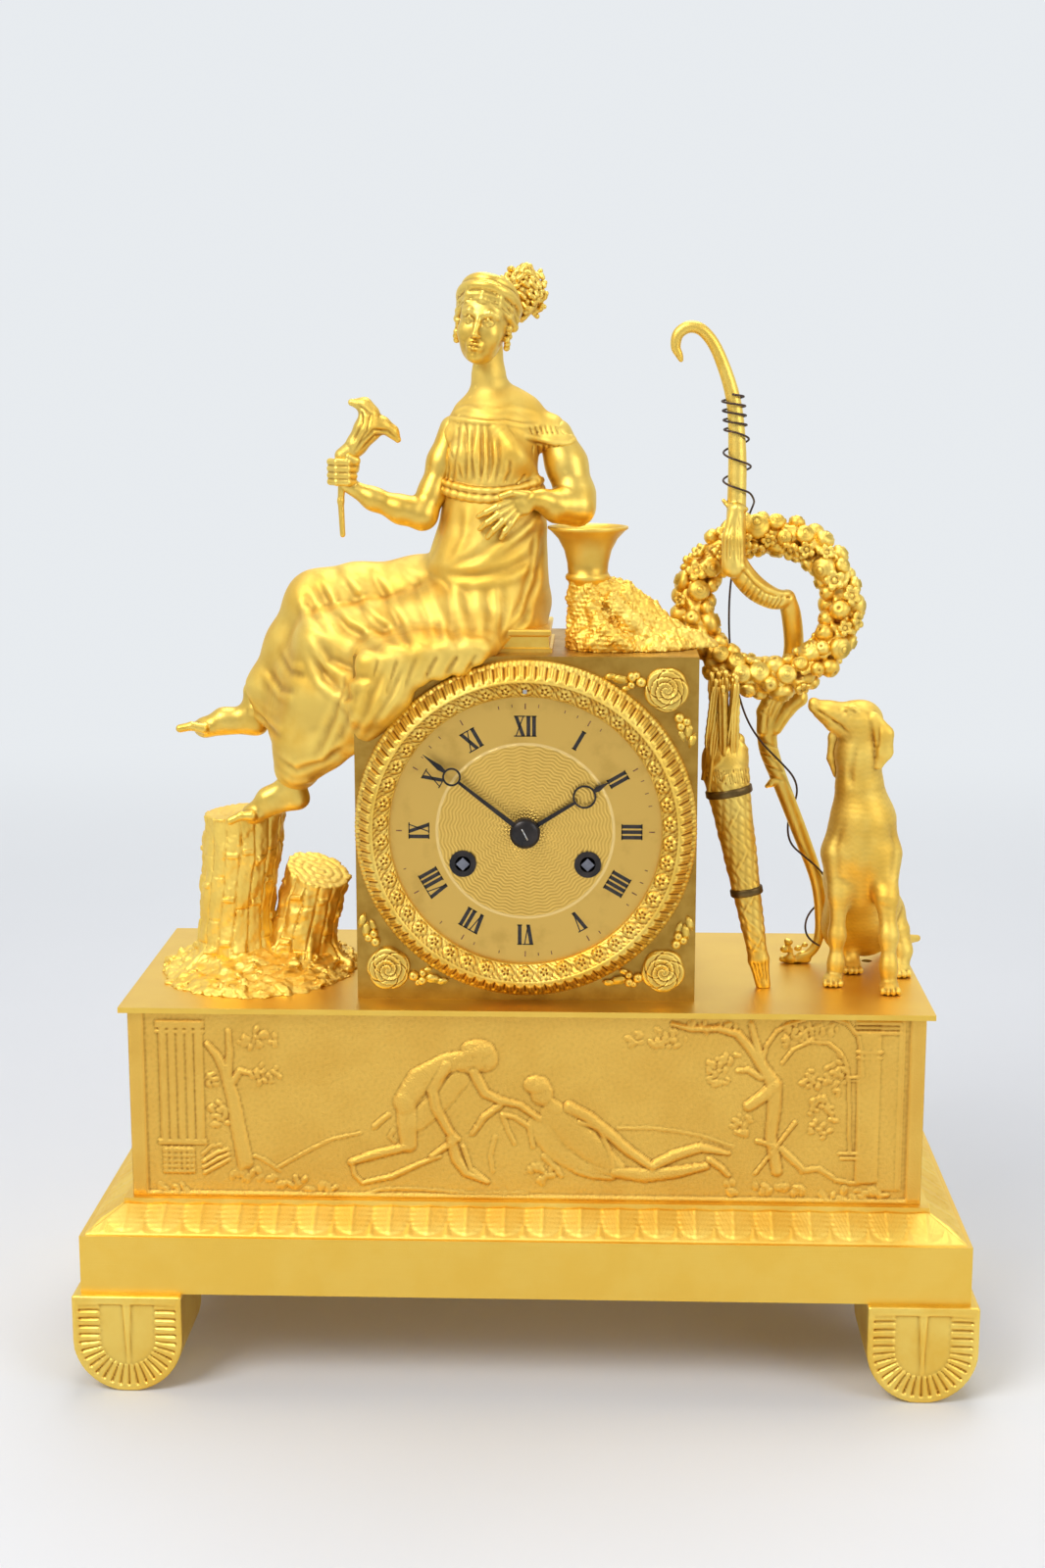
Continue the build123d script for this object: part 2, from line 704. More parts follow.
# Going and strike barrels: a drum with its great wheel, a winding arbor and a coiled spring.
centre_phase = 0.0
going_bearing = math.atan2(-winding_drop, going_x)
great_phase = 0.0
centre_pinion_phase = meshing_phase(
    going_bearing + math.pi, great_phase, great_teeth, centre_pinion_leaves
)
pin_pinion_phase = meshing_phase(pin_wheel_bearing, great_phase, great_teeth, centre_pinion_leaves)
ratchet_teeth = 18
ratchet_shares = ((3.0, 0.0), (3.5, 0.08))
going_drum_front = -29.0
strike_drum_front = -26.0
barrels = {
    "going": (going_x, going_drum_front, going_drum_front + drum_length),
    "strike": (-going_x, strike_drum_front, strike_drum_front - great_wheel_thickness),
}
for name, (barrel_x, drum_front, great_front) in barrels.items():
    drum_back = drum_front + drum_length
    great_back = great_front + great_wheel_thickness
    with BuildPart() as barrel:
        round_bar(barrel_x, winding_z, drum_back, drum_front, drum_radius)
        toothed_wheel(barrel_x, winding_z, great_back, great_front, great_teeth, great_module, great_phase)
        round_bar(
            barrel_x, winding_z, drum_back - drum_wall, drum_front + drum_wall,
            drum_radius - drum_wall, Mode.SUBTRACT,
        )
        round_bar(
            barrel_x, winding_z, drum_back + 3 * cut_overrun, drum_front - 3 * cut_overrun,
            arbor_radius + running_gap, Mode.SUBTRACT,
        )
    save(barrel, f"{name}_barrel")

    ratchet_back = front_plate_front - seat_gap
    with BuildPart() as winding_arbor:
        round_bar(barrel_x, winding_z, back_plate_front + plate_thickness, front_plate_front, arbor_radius)
        round_bar(
            barrel_x, winding_z, drum_back - drum_wall - seat_gap, drum_front + drum_wall + seat_gap,
            2 * arbor_radius,
        )
        round_bar(barrel_x, winding_z, ratchet_back, ratchet_back - wheel_thickness, 3 * arbor_radius)
        square_bar(
            barrel_x, winding_z, front_plate_front, dial_front - square_stand_out,
            square_side, square_side, 45,
        )
        with BuildSketch(facing(barrel_x, ratchet_back, winding_z)) as ratchet:
            with BuildLine():
                Polyline(
                    *[
                        (
                            radius * arbor_radius * math.cos(2 * math.pi * (tooth + share) / ratchet_teeth),
                            radius * arbor_radius * math.sin(2 * math.pi * (tooth + share) / ratchet_teeth),
                        )
                        for tooth in range(ratchet_teeth)
                        for radius, share in ratchet_shares
                    ],
                    close=True,
                )
            make_face()
        extrude(ratchet.sketch, amount=wheel_thickness)
    save(winding_arbor, f"{name}_winding_arbor")

with BuildPart() as mainsprings:
    spiral_start = 2 * arbor_radius + 4 * seat_gap
    spiral_end = drum_radius - drum_wall - spring_thickness - 2 * seat_gap
    steps_per_turn = 16
    for name, (barrel_x, drum_front, great_front) in barrels.items():
        edges = []
        for lift in (0, spring_thickness):
            row = []
            for step in range(spring_turns * steps_per_turn + 1):
                angle = 2 * math.pi * step / steps_per_turn
                reach = step / (spring_turns * steps_per_turn)
                radius = spiral_start + (spiral_end - spiral_start) * reach + lift
                row.append((radius * math.cos(angle), radius * math.sin(angle)))
            edges.append(row)
        with BuildSketch(facing(barrel_x, drum_front + drum_length - 2 * drum_wall, winding_z)) as coil:
            with BuildLine():
                Polyline(*edges[0], *reversed(edges[1]), close=True)
            make_face()
        extrude(coil.sketch, amount=drum_length - 4 * drum_wall)
save(mainsprings, "mainsprings")

# Clicks: a pawl on the front plate beside each ratchet wheel, held just clear of its teeth.
with BuildPart() as clicks:
    for side in (-1, 1):
        click_x = side * (winding_spread + 3.5 * arbor_radius + 2 * seat_gap + pillar_radius / 2)
        square_bar(
            click_x, winding_z, front_plate_front, front_plate_front - 2 * wheel_thickness,
            pillar_radius, 3 * pillar_radius,
        )
save(clicks, "clicks")

# Centre arbor: pinion, centre wheel and the cannon pinion that carries the minute hand.
centre_wheel_front = -9.5
centre_wheel_back = centre_wheel_front + wheel_thickness
third_bearing = math.atan2(third_up, third_x)
centre_wheel_phase = 0.0
third_pinion_phase = meshing_phase(third_bearing, centre_wheel_phase, centre_teeth, train_pinion_leaves)
cannon_back = front_plate_front - seat_gap
cannon_front = cannon_back - 2 * wheel_thickness
minute_hand_back = -49.5
hour_hand_back = -47.4
with BuildPart() as centre_wheel:
    round_bar(
        0, dial_height, back_plate_front + plate_thickness, minute_hand_back - hand_thickness,
        thin_arbor_radius,
    )
    toothed_wheel(
        0, dial_height, going_drum_front + drum_length + 2 * great_wheel_thickness,
        going_drum_front + drum_length - great_wheel_thickness / 2,
        centre_pinion_leaves, great_module, centre_pinion_phase,
    )
    toothed_wheel(
        0, dial_height, centre_wheel_back, centre_wheel_front, centre_teeth, centre_module,
        centre_wheel_phase,
    )
    crossings(0, dial_height, centre_wheel_back, centre_wheel_front, centre_teeth * centre_module / 2)
    toothed_wheel(0, dial_height, cannon_back, cannon_front, cannon_leaves, cannon_module, 0)
    round_bar(0, dial_height, cannon_back, minute_hand_back, cannon_pipe_radius)
save(centre_wheel, "centre_wheel")


def hand_profile(length, ring_place, ring_radius, hole):
    """A hand pointing along local x: hub, tapered stem, ring and leaf-shaped tip."""
    Circle(hand_hub_radius)
    with BuildLine() as stem_outline:
        Polyline(
            (0, -hand_width * 0.55), (ring_place - ring_radius * 0.9, -hand_width * 0.3),
            (ring_place - ring_radius * 0.9, hand_width * 0.3), (0, hand_width * 0.55), close=True,
        )
    make_face(stem_outline.edges())
    with Locations((ring_place, 0)):
        Circle(ring_radius)
    tip_root = ring_place + ring_radius * 0.9
    swell = tip_root + (length - tip_root) * 0.25
    with BuildLine() as tip_outline:
        Polyline(
            (tip_root, -hand_width * 0.3), (swell, -hand_width * 0.6), (length, 0),
            (swell, hand_width * 0.6), (tip_root, hand_width * 0.3), close=True,
        )
    make_face(tip_outline.edges())
    with Locations((ring_place, 0)):
        Circle(ring_radius - hand_width * 0.4, mode=Mode.SUBTRACT)
    Circle(hole, mode=Mode.SUBTRACT)


def hand_plane(back, angle):
    """A plane on the dial axis whose x points along a hand. angle is clockwise from twelve."""
    turn = math.radians(90 - angle)
    return Plane(origin=(0, back, dial_height), x_dir=(math.cos(turn), 0, math.sin(turn)), z_dir=(0, -1, 0))


with BuildPart() as minute_hand:
    with BuildSketch(hand_plane(minute_hand_back, minute_hand_angle)) as minute_outline:
        hand_profile(minute_hand_length, minute_ring_place, minute_ring_radius, thin_arbor_radius)
    extrude(minute_outline.sketch, amount=hand_thickness)
save(minute_hand, "minute_hand")

with BuildPart() as hour_hand:
    with BuildSketch(hand_plane(hour_hand_back, hour_hand_angle)) as hour_outline:
        hand_profile(hour_hand_length, hour_ring_place, hour_ring_radius, hour_pipe_radius)
    extrude(hour_outline.sketch, amount=hand_thickness)
save(hour_hand, "hour_hand")

# Motion work under the dial: the cannon drives the minute wheel, its pinion the hour wheel.
minute_wheel_phase = meshing_phase(-math.pi / 2, 0, cannon_leaves, minute_wheel_teeth)
minute_back = cannon_back - wheel_thickness / 2
minute_front = minute_back - wheel_thickness
hour_wheel_back = minute_front - 1.5 * wheel_thickness
hour_wheel_front = hour_wheel_back - wheel_thickness
hour_phase = meshing_phase(math.pi / 2, 0, minute_pinion_leaves, hour_wheel_teeth)
with BuildPart() as minute_wheel:
    toothed_wheel(
        0, minute_wheel_z, minute_back, minute_front, minute_wheel_teeth, cannon_module, minute_wheel_phase,
    )
    toothed_wheel(0, minute_wheel_z, minute_front, hour_wheel_front, minute_pinion_leaves, hour_module, 0)
    round_bar(
        0, minute_wheel_z, minute_back + cut_overrun, hour_wheel_front - cut_overrun,
        minute_post_radius + running_gap, Mode.SUBTRACT,
    )
save(minute_wheel, "minute_wheel")

with BuildPart() as hour_wheel:
    toothed_wheel(
        0, dial_height, hour_wheel_back, hour_wheel_front, hour_wheel_teeth, hour_module, hour_phase,
    )
    round_bar(0, dial_height, hour_wheel_back, hour_hand_back - hand_thickness, hour_pipe_radius)
    round_bar(
        0, dial_height, hour_wheel_back + cut_overrun, hour_hand_back - hand_thickness - cut_overrun,
        cannon_pipe_radius + running_gap, Mode.SUBTRACT,
    )
save(hour_wheel, "hour_wheel")

# Third wheel, escape wheel and pallets.
third_wheel_front = -5.5
third_wheel_back = third_wheel_front + wheel_thickness
escape_bearing = math.atan2(escape_z - third_z, -third_x)
third_wheel_phase = 0.0
escape_pinion_phase = meshing_phase(escape_bearing, third_wheel_phase, third_teeth, train_pinion_leaves)
with BuildPart() as third_wheel:
    round_bar(third_x, third_z, back_plate_front + plate_thickness, front_plate_front, thin_arbor_radius)
    toothed_wheel(
        third_x, third_z, centre_wheel_back + wheel_thickness / 2, centre_wheel_front - wheel_thickness / 2,
        train_pinion_leaves, centre_module, third_pinion_phase,
    )
    toothed_wheel(
        third_x, third_z, third_wheel_back, third_wheel_front, third_teeth, third_module, third_wheel_phase
    )
    crossings(third_x, third_z, third_wheel_back, third_wheel_front, third_teeth * third_module / 2)
save(third_wheel, "third_wheel")

escape_front = -12.2
escape_back = escape_front + wheel_thickness
with BuildPart() as escape_wheel:
    round_bar(0, escape_z, back_plate_front + plate_thickness, front_plate_front, thin_arbor_radius * 0.8)
    toothed_wheel(
        0, escape_z, third_wheel_back + wheel_thickness / 2, third_wheel_front - wheel_thickness / 2,
        train_pinion_leaves, third_module, escape_pinion_phase,
    )
    escape_outline = []
    for tooth in range(escape_teeth):
        for radius, share in ((0.86, 0.0), (1.0, 0.5), (0.97, 0.62)):
            angle = 2 * math.pi * (tooth + share) / escape_teeth
            escape_outline.append(
                (escape_radius * radius * math.cos(angle), escape_radius * radius * math.sin(angle))
            )
    with BuildSketch(facing(0, escape_back, escape_z)) as escape_profile:
        with BuildLine():
            Polyline(*escape_outline, close=True)
        make_face()
    extrude(escape_profile.sketch, amount=wheel_thickness)
save(escape_wheel, "escape_wheel")

crutch_back = pendulum_plane - rod_radius * 2
crutch_front = crutch_back - wheel_thickness
crutch_length = pallet_rise * 0.72
fork_gap = rod_radius + seat_gap
with BuildPart() as pallets:
    round_bar(0, pivot_z, crutch_back, front_plate_front, thin_arbor_radius)
    nib_angle = math.radians(50)
    nib_circle = escape_radius * 1.16
    nib_x = nib_circle * math.sin(nib_angle)
    nib_z = escape_z + nib_circle * math.cos(nib_angle)
    boss = 2 * thin_arbor_radius
    with BuildSketch(facing(0, escape_back, pivot_z)) as anchor:
        with BuildLine():
            Polyline(
                (0, boss), (nib_x + boss, nib_z - pivot_z + boss * 0.6), (nib_x, nib_z - pivot_z),
                (boss, -boss), (-boss, -boss), (-nib_x, nib_z - pivot_z),
                (-nib_x - boss, nib_z - pivot_z + boss * 0.6), close=True,
            )
        make_face()
    extrude(anchor.sketch, amount=wheel_thickness)
    square_bar(0, pivot_z - crutch_length / 2, crutch_back, crutch_front, 2 * rod_radius, crutch_length)
    fork_z = pivot_z - crutch_length
    fork_width = 2 * (fork_gap + 2 * rod_radius)
    square_bar(0, fork_z, crutch_back, crutch_front, fork_width, 3 * rod_radius)
    for side in (-1, 1):
        square_bar(
            side * (fork_gap + rod_radius), fork_z, pendulum_plane + 2 * rod_radius, crutch_front,
            2 * rod_radius, 3 * rod_radius,
        )
save(pallets, "pallets")

# Pendulum: a thin spring, a rod, a lens-shaped bob and its rating nut.
spring_top = pivot_z + suspension_length / 2
spring_bottom = pivot_z - suspension_length / 2
rod_top = spring_bottom + rod_radius * 2
with BuildPart() as suspension_spring:
    slab(
        0, pendulum_plane, spring_bottom, spring_top, spring_strip_thickness, spring_strip_width
    )
save(suspension_spring, "suspension_spring")

with BuildPart() as pendulum_rod:
    rod_bottom = bob_z - 1.35 * bob_radius
    post(0, pendulum_plane, rod_bottom, spring_bottom, rod_radius)
save(pendulum_rod, "pendulum_rod")

with BuildPart() as pendulum_bob:
    with BuildSketch(Plane(origin=(0, pendulum_plane, bob_z), x_dir=(1, 0, 0), z_dir=(0, 0, 1))) as lens:
        with BuildLine():
            Polyline(
                (0, -bob_thickness / 2), (bob_radius * 0.7, -bob_thickness * 0.36), (bob_radius, 0),
                (bob_radius * 0.7, bob_thickness * 0.36), (0, bob_thickness / 2), close=True,
            )
        make_face()
    revolve(lens.sketch, axis=Axis((0, pendulum_plane, bob_z), (0, 1, 0)))
    post(0, pendulum_plane, bob_z - bob_radius - nut_height, bob_z - bob_radius - seat_gap, nut_width / 2)
    post(
        0, pendulum_plane, bob_z - 2 * bob_radius, bob_z + 2 * bob_radius, rod_radius, mode=Mode.SUBTRACT
    )
save(pendulum_bob, "pendulum_bob")

# Cock: two legs on the back plate, a bridge with a slit for the spring, and a lug above.
cock_leg_spread = 10.0
cock_leg_width = 4.0
cock_depth = 9.0
cock_height = 4.5
cock_bottom = spring_top - 3 * seat_gap
regulator_z = dial_height + regulator_rise
with BuildPart() as suspension_cock:
    plate_back = back_plate_front + plate_thickness
    for side in (-1, 1):
        square_bar(
            side * cock_leg_spread, cock_bottom - cock_height, plate_back + plate_thickness, plate_back,
            cock_leg_width, 3 * cock_height,
        )
    square_bar(
        0, cock_bottom + cock_height / 2, plate_back + cock_depth, plate_back,
        2 * cock_leg_spread + cock_leg_width, cock_height,
    )
    square_bar(
        0, (cock_bottom + regulator_z + cock_height) / 2, plate_back + 1.5 * plate_thickness, plate_back,
        cock_leg_width * 1.5, regulator_z + cock_height - cock_bottom,
    )
    slab(
        0, pendulum_plane, cock_bottom - cut_overrun, spring_top + seat_gap,
        spring_strip_thickness + 4 * seat_gap, spring_strip_width + 2 * seat_gap, mode=Mode.SUBTRACT,
    )
    round_bar(
        0, regulator_z, plate_back + cock_depth + cut_overrun, plate_back - cut_overrun,
        thin_arbor_radius + running_gap, Mode.SUBTRACT,
    )
save(suspension_cock, "suspension_cock")

with BuildPart() as regulation_arbor:
    regulator_front = case_front - bezel_depth * 0.9
    round_bar(
        0, regulator_z, plate_back + 2 * plate_thickness, regulator_front + square_side, thin_arbor_radius
    )
    regulator_square = thin_arbor_radius * 1.35
    square_bar(
        0, regulator_z, regulator_front + square_side, regulator_front, regulator_square, regulator_square,
    )
save(regulation_arbor, "regulation_arbor")

# Strike: pin wheel, hammer, bell and its stand.
pin_total = 10
pin_circle = 8.6
pin_radius = 0.6
pin_wheel_radius = 10.0
pin_wheel_front = -6.0
pin_length = 2.0
strike_great_front = strike_drum_front - great_wheel_thickness
with BuildPart() as pin_wheel:
    round_bar(
        pin_wheel_x, pin_wheel_z, back_plate_front + plate_thickness, front_plate_front, thin_arbor_radius,
    )
    toothed_wheel(
        pin_wheel_x, pin_wheel_z, strike_drum_front, strike_great_front - great_wheel_thickness / 4,
        centre_pinion_leaves, great_module, pin_pinion_phase,
    )
    round_bar(pin_wheel_x, pin_wheel_z, pin_wheel_front + wheel_thickness, pin_wheel_front, pin_wheel_radius)
    crossings(pin_wheel_x, pin_wheel_z, pin_wheel_front + wheel_thickness, pin_wheel_front, pin_circle)
    for pin in range(pin_total):
        turn = 2 * math.pi * pin / pin_total
        round_bar(
            pin_wheel_x + pin_circle * math.cos(turn), pin_wheel_z + pin_circle * math.sin(turn),
            pin_wheel_front, pin_wheel_front - pin_length, pin_radius,
        )
save(pin_wheel, "pin_wheel")

hammer_plane = bell_plane + hammer_set_back
head_reach = bell_radius + hammer_gap + hammer_head_radius
head_bearing = math.radians(125)
head_x = head_reach * math.cos(head_bearing)
head_z = bell_z + head_reach * math.sin(head_bearing)
with BuildPart() as hammer:
    hammer_back = hammer_plane + hammer_head_length / 2
    round_bar(hammer_x, hammer_z, hammer_plane + wheel_thickness, front_plate_front, thin_arbor_radius)
    stem_length = math.hypot(head_x - hammer_x, head_z - hammer_z)
    stem_turn = math.degrees(math.atan2(head_z - hammer_z, head_x - hammer_x))
    with BuildSketch(facing(hammer_x, hammer_plane + wheel_thickness, hammer_z)) as stem:
        with Locations(Rotation(0, 0, stem_turn)):
            with Locations((stem_length / 2, 0)):
                Rectangle(stem_length, thin_arbor_radius * 2)
        Circle(thin_arbor_radius * 2)
    extrude(stem.sketch, amount=wheel_thickness)
    round_bar(head_x, head_z, hammer_back, hammer_back - hammer_head_length, hammer_head_radius)
    arbor_distance = math.hypot(pin_wheel_x - hammer_x, pin_wheel_z - hammer_z)
    tail_length = arbor_distance - pin_circle - pin_radius - 2 * seat_gap
    tail_turn = math.degrees(math.atan2(pin_wheel_z - hammer_z, pin_wheel_x - hammer_x))
    with BuildSketch(facing(hammer_x, pin_wheel_front - seat_gap, hammer_z)) as tail:
        with Locations(Rotation(0, 0, tail_turn)):
            with Locations((tail_length / 2, 0)):
                Rectangle(tail_length, thin_arbor_radius * 2)
    extrude(tail.sketch, amount=pin_length * 0.7)
save(hammer, "hammer")

bell_shares = [(0.0, 1.0), (0.45, 1.0), (0.78, 0.86), (0.93, 0.55), (1.0, 0.0)]
with BuildPart() as bell:
    with BuildSketch(Plane(origin=(0, bell_plane, bell_z), x_dir=(1, 0, 0), z_dir=(0, 0, 1))) as bell_profile:
        with BuildLine():
            outer = [(radius * bell_radius, depth * bell_depth) for radius, depth in bell_shares]
            inner = [
                (radius * (bell_radius - bell_wall), depth * (bell_depth - bell_wall))
                for radius, depth in reversed(bell_shares)
            ]
            Polyline(*outer, *inner, close=True)
        make_face()
    revolve(bell_profile.sketch, axis=Axis((0, bell_plane, bell_z), (0, 1, 0)))
    round_bar(
        0, bell_z, bell_plane + bell_depth + cut_overrun, bell_plane, arbor_radius + running_gap,
        mode=Mode.SUBTRACT,
    )
save(bell, "bell")

stand_x = 17.0
stand_drop = 30.0
with BuildPart() as bell_stand:
    stand_z = bell_z - stand_drop
    stand_back = bell_plane - seat_gap
    round_bar(stand_x, stand_z, stand_back, back_plate_front + plate_thickness, 1.2 * arbor_radius)
    arm_length = math.hypot(stand_x, stand_drop)
    arm_turn = math.degrees(math.atan2(stand_drop, -stand_x))
    with BuildSketch(facing(stand_x, stand_back, stand_z)) as arm:
        with Locations(Rotation(0, 0, arm_turn)):
            with Locations((arm_length / 2, 0)):
                Rectangle(arm_length, 2 * arbor_radius)
        Circle(1.2 * arbor_radius)
    extrude(arm.sketch, amount=arbor_radius)
    bell_inside = bell_plane + bell_depth - bell_wall
    round_bar(0, bell_z, bell_inside, stand_back - arbor_radius, 1.5 * arbor_radius)
    round_bar(0, bell_z, bell_plane + bell_depth + nut_height, bell_inside, arbor_radius)
save(bell_stand, "bell_stand")

# Back ring and door, hinged on the left as seen from the front.
with BuildPart() as back_ring:
    round_bar(0, dial_height, case_back + back_ring_thickness, case_back, back_ring_radius)
    round_bar(0, dial_height, case_back, strap_back, back_ring_opening + back_ring_thickness)
    round_bar(
        0, dial_height, case_back + back_ring_thickness + cut_overrun, strap_back - cut_overrun,
        back_ring_opening, Mode.SUBTRACT,
    )
    hinge_x = -back_ring_radius - hinge_radius * 0.6
    hinge_y = case_back + back_ring_thickness + hinge_radius + seat_gap
    knuckle = (hinge_length - 4 * seat_gap) / 3
    for end in (-1, 1):
        knuckle_middle = dial_height + end * (knuckle + 2 * seat_gap)
        post(hinge_x, hinge_y, knuckle_middle - knuckle / 2, knuckle_middle + knuckle / 2, hinge_radius)
        slab(
            hinge_x + hinge_radius / 2, (case_back + hinge_y) / 2, knuckle_middle - knuckle / 2,
            knuckle_middle + knuckle / 2, hinge_radius, hinge_y - case_back,
        )
    post(
        hinge_x, hinge_y, dial_height - hinge_length, dial_height + hinge_length,
        hinge_pin_radius + running_gap / 2, mode=Mode.SUBTRACT,
    )
save(back_ring, "back_ring")

door_front = case_back + back_ring_thickness + seat_gap
with BuildPart() as back_door:
    round_bar(0, dial_height, door_front + door_thickness, door_front, door_radius)
    post(hinge_x, hinge_y, dial_height - knuckle / 2, dial_height + knuckle / 2, hinge_radius)
    tongue = -door_radius * 0.9 - hinge_x
    slab(
        hinge_x + tongue / 2, door_front + door_thickness / 2, dial_height - knuckle / 2,
        dial_height + knuckle / 2, tongue, door_thickness,
    )
    post(
        hinge_x, hinge_y, dial_height - hinge_length, dial_height + hinge_length,
        hinge_pin_radius + running_gap, mode=Mode.SUBTRACT,
    )
    round_bar(
        door_radius * 0.82, dial_height, door_front + 3 * door_thickness, door_front + door_thickness,
        hinge_radius,
    )
save(back_door, "back_door")

with BuildPart() as door_hinge_pin:
    post(hinge_x, hinge_y, dial_height - hinge_length / 2, dial_height + hinge_length / 2, hinge_pin_radius)
save(door_hinge_pin, "door_hinge_pin")

# Seated figure. Its rows are shares of its height, counted from the seat on the case.
seat_point = (-10.0, -8.0, case_top)
seat_block_height = 8.0
torso_shares = [
    (-0.022, 0.007, 0.03, 0.13, 0.10), (-0.022, 0.007, 0.13, 0.149, 0.12), (-0.036, 0.004, 0.20, 0.156, 0.123),
    (-0.022, 0.007, 0.31, 0.138, 0.11), (-0.025, 0.01, 0.40, 0.126, 0.10), (-0.029, 0.007, 0.477, 0.124, 0.105),
    (-0.015, 0.01, 0.54, 0.135, 0.09), (0.0, 0.01, 0.585, 0.15, 0.07), (0.0, 0.015, 0.63, 0.10, 0.055),
    (-0.02, 0.02, 0.67, 0.05, 0.045),
]
lap_shares = [
    (0.05, -0.03, 0.056, 0.05, 0.10), (-0.07, -0.03, 0.056, 0.065, 0.13), (-0.17, -0.03, 0.056, 0.055, 0.11),
    (-0.25, -0.03, 0.05, 0.03, 0.06),
]
near_thigh_shares = [
    (0.04, -0.045, 0.10, 0.085, 0.085), (-0.02, -0.051, 0.10, 0.094, 0.094), (-0.17, -0.065, 0.07, 0.089, 0.089),
    (-0.33, -0.073, 0.034, 0.083, 0.083), (-0.45, -0.073, 0.01, 0.077, 0.077), (-0.51, -0.073, -0.02, 0.045, 0.05),
]
far_thigh_shares = [
    (0.03, 0.036, 0.11, 0.10, 0.10), (-0.058, 0.036, 0.114, 0.116, 0.116), (-0.22, 0.058, 0.128, 0.099, 0.099),
    (-0.39, 0.065, 0.118, 0.089, 0.089), (-0.50, 0.065, 0.10, 0.082, 0.082), (-0.56, 0.068, 0.06, 0.05, 0.06),
]
near_leg_shares = [
    (-0.44, -0.073, 0.02, 0.075, 0.075), (-0.487, -0.069, -0.126, 0.08, 0.08),
    (-0.53, -0.062, -0.256, 0.073, 0.073), (-0.548, -0.058, -0.333, 0.05, 0.05),
]
far_leg_shares = [
    (-0.49, 0.066, 0.12, 0.08, 0.08), (-0.56, 0.072, -0.016, 0.08, 0.08), (-0.625, 0.072, -0.133, 0.07, 0.07),
    (-0.645, 0.072, -0.19, 0.047, 0.047),
]
side_fall_shares = [
    (-0.35, -0.123, 0.0, 0.046, 0.046), (-0.40, -0.138, -0.14, 0.046, 0.046),
    (-0.447, -0.123, -0.264, 0.033, 0.033), (-0.46, -0.115, -0.30, 0.015, 0.015),
]
near_foot_shares = [
    (-0.57, -0.03, -0.27, 0.03, 0.03), (-0.575, -0.02, -0.36, 0.03, 0.03),
    (-0.60, -0.01, -0.425, 0.035, 0.03),
    (-0.66, 0.0, -0.445, 0.028, 0.03), (-0.74, 0.01, -0.455, 0.014, 0.025),
]
far_foot_shares = [
    (-0.70, 0.075, -0.15, 0.03, 0.03), (-0.72, 0.075, -0.21, 0.03, 0.03), (-0.80, 0.075, -0.235, 0.025, 0.03),
    (-0.88, 0.075, -0.23, 0.014, 0.025),
]
cloth_fall_shares = [
    (-0.09, 0.01), (-0.20, -0.06), (-0.27, -0.10), (-0.34, -0.155), (-0.41, -0.12), (-0.41, 0.06),
    (-0.12, 0.06),
]
cloth_thickness = 8.0
with BuildPart() as figure_body:
    for rows in (
        torso_shares, lap_shares, near_thigh_shares, far_thigh_shares, near_leg_shares, far_leg_shares,
        near_foot_shares, far_foot_shares, side_fall_shares,
    ):
        swelling(seat_point, figure_height, rows)
    cloth_back = case_front - seat_gap
    cloth_front = cloth_back - cloth_thickness
    with BuildSketch(facing(seat_point[0], cloth_back, case_top)) as fall:
        with BuildLine():
            Polyline(*[(x * figure_height, z * figure_height) for x, z in cloth_fall_shares], close=True)
        make_face()
    extrude(fall.sketch, amount=cloth_thickness)
    round_bar(
        0, dial_height, cloth_back + cut_overrun, case_front - bezel_depth * 0.45, bezel_radius + seat_gap,
        Mode.SUBTRACT,
    )
    round_bar(
        0, dial_height, cloth_back + cut_overrun, cloth_front - cut_overrun, bezel_radius * 0.945,
        mode=Mode.SUBTRACT,
    )
    cloth_left = seat_point[0] - 0.41 * figure_height
    cloth_right = seat_point[0] - 0.12 * figure_height
    slab(
        (cloth_left + cloth_right) / 2, (cloth_front + seat_point[1] - figure_height * 0.1) / 2,
        case_top + seat_gap, case_top + 0.06 * figure_height, cloth_right - cloth_left,
        seat_point[1] - figure_height * 0.1 - cloth_front,
    )
    slab(
        seat_point[0], seat_point[1], case_top, case_top + seat_block_height, figure_height * 0.3,
        figure_height * 0.35, mode=Mode.SUBTRACT,
    )
    slab(
        0, (case_front + case_back) / 2, dial_height, case_top, case_width, case_back - case_front,
        mode=Mode.SUBTRACT,
    )
save(figure_body, "figure_body")

with BuildPart() as seat_block:
    slab(
        seat_point[0] + figure_height * 0.03, seat_point[1], case_top, case_top + seat_block_height,
        figure_height * 0.2, figure_height * 0.3,
    )
save(seat_block, "seat_block")

head_shares = [
    (-0.02, 0.02, 0.665, 0.042, 0.042), (-0.04, 0.01, 0.715, 0.043, 0.043),
    (-0.045, -0.01, 0.76, 0.065, 0.07),
    (-0.04, -0.01, 0.82, 0.08, 0.088), (-0.035, 0.0, 0.88, 0.083, 0.093), (-0.02, 0.01, 0.93, 0.06, 0.075),
    (-0.015, 0.015, 0.955, 0.03, 0.035),
]
bun_shares = [
    (-0.01, 0.07, 0.87, 0.05, 0.05), (0.02, 0.09, 0.93, 0.06, 0.058), (0.04, 0.095, 0.975, 0.045, 0.045),
    (0.045, 0.095, 0.998, 0.015, 0.015),
]
with BuildPart() as figure_head:
    swelling(seat_point, figure_height, head_shares)
    swelling(seat_point, figure_height, bun_shares)
save(figure_head, "figure_head")

